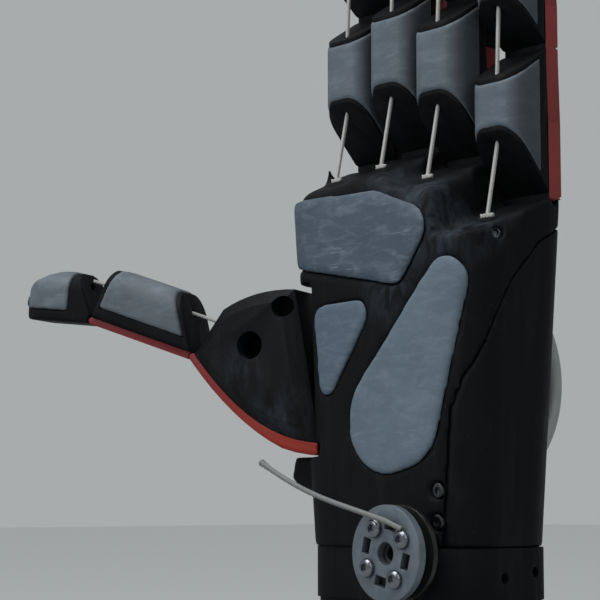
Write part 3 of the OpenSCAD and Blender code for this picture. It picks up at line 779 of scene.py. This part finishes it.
def finger_strips(finger, material, shade_black):
    """Three lengths of one red strip, each from the middle of a link to the middle of the next."""
    at = hinges_of(finger)
    zones = painted_shade_zones(finger, at)
    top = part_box(f"{finger}_distal_strip")[1].z
    width_below = None
    for j, link in enumerate(LINKS):
        node = f"{finger}_{link}_strip"
        low_corner, high_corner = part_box(node)
        width = high_corner.x - low_corner.x
        above = (at[j + 1].z - at[j].z) / 2 if j < 2 else top - at[j].z
        below = ROOT_DEEP if j == 0 else (at[j].z - at[j - 1].z) / 2 + LAP
        piece = strip_length(f"{finger}_{link}_red_strip", at[j], below, above, width, width_below or width,
                             zones)
        width_below = width
        if j == 0:
            narrow_root(piece, at[j])
        if j == 2:
            with editing(piece, lambda p: p.z > top - TINY and p.y > at[j].y):
                bpy.ops.mesh.bevel(offset=END_ROUND, segments=3, affect="EDGES")
        modify(piece, "BEVEL", width=STRIP_EDGE, segments=2, limit_method="ANGLE",
               angle_limit=math.radians(NEW_BEVEL_ANGLE))
        smooth_round(piece, NEW_CREASE_ANGLE)
        dress(piece, material)
        # The strip's faces in the hinge gaps get the black print as painted shade.
        paint_shade(piece, at[j], zones, shade_black)
        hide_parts(node)
        if j == 0:
            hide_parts("strip_roots")
        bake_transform(piece)


def thumb_strips(material):
    """The thumb's strip in two lengths: under the first link, and swelling round the metacarpal."""
    refined("thumb_proximal_strip", material, STRIP_EDGE)
    piece = refined("thumb_metacarpal_strip", material, STRIP_EDGE)
    root = hinge("thumb_root_joint")
    knuckle = hinge("thumb_knuckle")
    out = Vector((knuckle.x - root.x, knuckle.y - root.y, 0)).normalized()
    length = (knuckle - root).dot(out)
    normals = [v.normal.copy() for v in piece.data.vertices]
    for vertex, normal in zip(piece.data.vertices, normals):
        share = 1 - (vertex.co - root).dot(out) / length
        if normal.z < FACES_DOWN and share > SWELL_FROM:
            vertex.co -= UP * STRIP_SWELL * min(1, (share - SWELL_FROM) / SWELL_LONG) ** 2


# ---------------------------------------------------------------- screws on the spool
SCREWS = 4
SCREW_RING = 0.008
SCREW_TURN = 30
BUTTON_R = 0.0027
BUTTON_TALL = 0.0019
BUTTON_SIDES = 36
BUTTON_SUNK = 0.0002
BUTTON_ROUND = 0.62
SOCKET_RIM = 0.0003
SOCKET_DEEP = 0.0009


def button_screws(material):
    """Four button-head screws on the horn disc, each with a dished socket."""
    disc_low, disc_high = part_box("horn_disc")
    centre = (disc_low + disc_high) / 2
    for k in range(SCREWS):
        turn = math.radians(SCREW_TURN + 360 / SCREWS * k)
        place = Vector((centre.x + SCREW_RING * math.cos(turn), disc_low.y - BUTTON_TALL / 2 + BUTTON_SUNK,
                        centre.z + SCREW_RING * math.sin(turn)))
        front = place.y - BUTTON_TALL / 2
        bpy.ops.object.select_all(action="DESELECT")
        bpy.ops.mesh.primitive_cylinder_add(vertices=BUTTON_SIDES, radius=BUTTON_R, depth=BUTTON_TALL,
                                            location=place, rotation=(math.pi / 2, 0, 0))
        head = as_piece(f"horn_button_{k + 1}")
        with editing(head, lambda p: p.y < front + TINY):
            bpy.ops.mesh.bevel(offset=BUTTON_TALL * BUTTON_ROUND, segments=5, affect="EDGES")
        with editing(head, lambda p: p.y < front + TINY):
            bpy.ops.mesh.inset(thickness=SOCKET_RIM)
            bpy.ops.mesh.extrude_region_move(TRANSFORM_OT_translate={"value": (0, SOCKET_DEEP, 0)})
        smooth_round(head, NEW_CREASE_ANGLE)
        dress(head, material)
        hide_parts("horn_screws")
        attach(head, "spool")


# ---------------------------------------------------------------- room, lamps and camera
ROOM_GREY = rgb(168, 172, 172)
ROOM_LIGHT = rgb(208, 212, 214)
ROOM_STRENGTH = 0.5
FLOOR_SIZE = 6
FLOOR_GLOW = 0.8
LAMP_AIM = Vector((0, 0, 0.12))
# Each lamp's name, place, width and power in watts.
LAMPS = (("above", (-0.05, -0.45, 1.15), 0.8, 10), ("key", (-0.35, -1.0, 0.75), 0.7, 4.5),
         ("fill", (0.9, -0.3, 0.7), 0.9, 2.5))
CAMERA_SIDE = Vector((1, -1, 0)).normalized()
CAMERA_AWAY = 0.550
CAMERA_HEIGHT = 0.0584
CAMERA_TURN = 48.959597
CAMERA_RISE = 6.196765
LENS_ANGLE = 18.500682


def lay_floor():
    """A matt grey floor that the camera sees partly at its own tone, so that it runs into the wall."""
    bpy.ops.object.select_all(action="DESELECT")
    bpy.ops.mesh.primitive_plane_add(size=FLOOR_SIZE)
    plane = bpy.context.object
    plane.name = "floor"
    p = Paint("floor_grey")
    lit = p.node("BsdfPrincipled", Base_Color=ROOM_GREY, Roughness=0.9)
    glow = p.node("Emission", Color=ROOM_GREY, Strength=1.0)
    seen = Value(p, p.node("LightPath").outputs["Is Camera Ray"])
    p.show(p.node("MixShader", None, {0: seen * FLOOR_GLOW, 1: lit.outputs[0], 2: glow.outputs[0]}))
    plane.data.materials.append(p.owner)


def light_room():
    """Soft light from all round, with a plain grey wall wherever the camera looks past the hand."""
    world = bpy.data.worlds.new("room")
    bpy.context.scene.world = world
    room = Nodes(world, "OutputWorld")
    light = room.node("Background", Color=ROOM_LIGHT, Strength=ROOM_STRENGTH)
    wall = room.node("Background", Color=ROOM_GREY, Strength=1.0)
    path = room.node("LightPath")
    seen = Value(room, path.outputs["Is Camera Ray"]).peak(Value(room, path.outputs["Is Transmission Ray"]))
    room.show(room.node("MixShader", None, {0: seen, 1: light.outputs[0], 2: wall.outputs[0]}))


def hang_lamp(name, place, size, power):
    """A soft square lamp that shines at the palm."""
    data = bpy.data.lights.new(name, "AREA")
    data.energy = power
    data.size = size
    lamp = bpy.data.objects.new(name, data)
    bpy.context.scene.collection.objects.link(lamp)
    lamp.location = place
    lamp.rotation_euler = (LAMP_AIM - Vector(place)).to_track_quat("-Z", "Y").to_euler()


def make_camera():
    """Low beside the wrist, an eighth of a turn from the palm's front, on the little finger's side."""
    data = bpy.data.cameras.new("camera")
    data.sensor_fit = "HORIZONTAL"
    data.angle = math.radians(LENS_ANGLE)
    data.clip_start = 0.01
    camera = bpy.data.objects.new("camera", data)
    bpy.context.scene.collection.objects.link(camera)
    camera.location = CAMERA_SIDE * CAMERA_AWAY + UP * CAMERA_HEIGHT
    camera.rotation_euler = (math.radians(90 + CAMERA_RISE), 0, math.radians(CAMERA_TURN))
    bpy.context.scene.camera = camera


# ---------------------------------------------------------------- putting the hand together
# Patches of painted bluish sheen on the print: the place, how far it spreads and how strong it is.
PALM_SHEEN = (((0.017, -0.022, 0.141), 0.022, 0.9), ((0.004, -0.02, 0.156), 0.016, 0.7),
               ((0.03, -0.018, 0.139), 0.018, 0.7), ((0.006, -0.024, 0.120), 0.014, 0.6))
THUMB_SHEEN = (((-0.036, -0.026, 0.082), 0.014, 0.5), ((-0.050, -0.03, 0.098), 0.012, 0.4))
black = printed_plastic("black_print", rgb(7, 8, 10), rgb(16, 18, 20))
palm_black = printed_plastic("palm_print", rgb(6, 7, 9), rgb(15, 17, 19), sheen_patches=PALM_SHEEN)
thumb_black = printed_plastic("thumb_print", rgb(8, 9, 11), rgb(17, 19, 22), gloss=0.36, sheen_patches=THUMB_SHEEN,
                              swirl=0.0, grain_turn=0.45)
cover_black = printed_plastic("cover_print", rgb(8, 9, 11), rgb(17, 19, 21), gloss=0.42)
heel_rubber = silicone("heel_silicone", rgb(68, 84, 97), rgb(96, 111, 124))
thenar_rubber = silicone("thenar_silicone", rgb(56, 73, 88), rgb(82, 98, 113))
knuckle_rubber = silicone("knuckle_silicone", rgb(42, 56, 68), rgb(68, 82, 96), scratched=0.4)
thumb_rubber = silicone("thumb_silicone", rgb(62, 70, 78), rgb(96, 105, 112))
finger_rubber = silicone("finger_silicone", rgb(64, 74, 83), rgb(92, 103, 112))
red = flexible_red("flexible_red", rgb(98, 28, 30), rgb(126, 38, 36), rgb(150, 70, 62))
thumb_red = flexible_red("flexible_scarlet", rgb(92, 12, 20), rgb(114, 20, 26), rgb(126, 40, 38),
                         near_palm=rgb(146, 38, 20))
white_cord = braid("white_braid", rgb(138, 138, 136), rgb(192, 191, 187))
# A darker copy of the braid, for the loose tail.
darker_cord = braid("darker_braid", rgb(92, 95, 95), rgb(140, 143, 141))
steel = turned_steel("bright_steel", rgb(96, 101, 107), rgb(140, 145, 150), rough=0.16)
# The housing screws' steel is rougher, and painted darker as the shade of their sunk holes.
dull_shaded_steel = turned_steel("dull_shaded_steel", rgb(52, 54, 57), rgb(92, 95, 98), rough=0.3)

tail_cord(darker_cord)
palm_shell(palm_black)
melted("back_cover", cover_black, voxel=0.00065, passes=8)
melted("knuckle_pad", knuckle_rubber, voxel=0.0007, passes=60)
melted("thenar_pad", thenar_rubber, voxel=0.0007, passes=26)
melted("heel_pad", heel_rubber, voxel=0.0007, passes=26)
for finger in FINGERS:
    # The black print also paints shade on the strips in the hinge gaps.
    finger_strips(finger, red, black)
    finger_tendons(finger, white_cord)
    for link in LINKS:
        refined(f"{finger}_{link}", black, width=0.0005)
        grip_pad(f"{finger}_{link}_pad", finger_rubber)
crossbars(white_cord)
thumb_strips(thumb_red)
thumb_tendon(white_cord)
refined("thumb_metacarpal", thumb_black, width=0.0008, segments=3)
refined("thumb_proximal", black, width=0.0005)
grip_pad("thumb_proximal_pad", thumb_rubber)
thumb_tip("thumb_distal_pad", thumb_rubber, inset=0, passes=14)
thumb_tip("thumb_distal", black, inset=0.0006, passes=4)
refined("wrist_housing", black, width=0.0006)
refined("servo", moulded_black("servo_case_black", rough=0.4), width=0.0005)
refined("spool_hub", moulded_black("spool_black", rough=0.45), width=0.0003)
refined("spool_flange", smoked_plastic(), width=0.0004, segments=3)
refined("horn_disc", blasted_aluminium(), width=0.0003, segments=3)
button_screws(steel)
refined("housing_screws", dull_shaded_steel, width=0.00025)
melted("back_tube", milky_tube(), voxel=0.0005, passes=2)

lay_floor()
light_room()
for lamp in LAMPS:
    hang_lamp(*lamp)
make_camera()
bpy.context.scene.view_settings.view_transform = "Standard"
bpy.context.view_layer.update()
